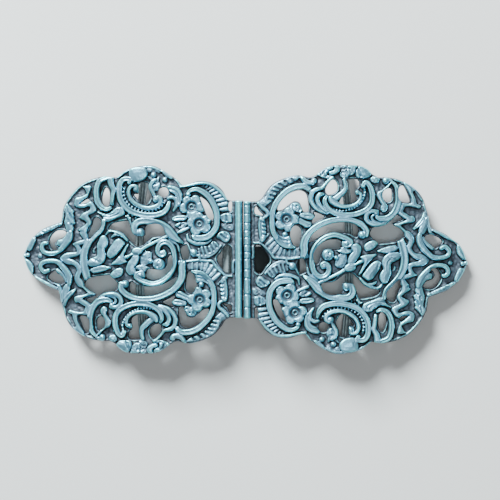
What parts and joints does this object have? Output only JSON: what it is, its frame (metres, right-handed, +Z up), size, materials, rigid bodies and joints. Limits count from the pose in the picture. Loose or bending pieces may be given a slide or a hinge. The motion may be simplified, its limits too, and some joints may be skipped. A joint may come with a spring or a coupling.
{
  "type": "nurse clasp buckle",
  "caption": "Fastened clasp buckle of pierced cast silver scrollwork in matching halves that hook together at the centre, with bowed belt bars behind.",
  "frame": {"origin": "on the table under the middle of the joint between the halves", "axes": "+X towards the right tip, +Y across the buckle, +Z up, out of the ornamented face"},
  "size_m": [0.1, 0.042, 0.0075],
  "materials": {
    "cast_silver": "antique silver plate, worn bright on the relief and oxidised dark in the recesses",
    "bar_metal": "dull plated wire, darkened",
    "hook_metal": "dull plated sheet metal, darkened"
  },
  "bodies": {
    "root": {"left_casting": "cast_silver", "right_casting": "cast_silver", "left_belt_bar": "bar_metal", "right_belt_bar": "bar_metal", "hook_plate": "hook_metal", "catch_bar": "hook_metal"}
  },
  "joints": []
}
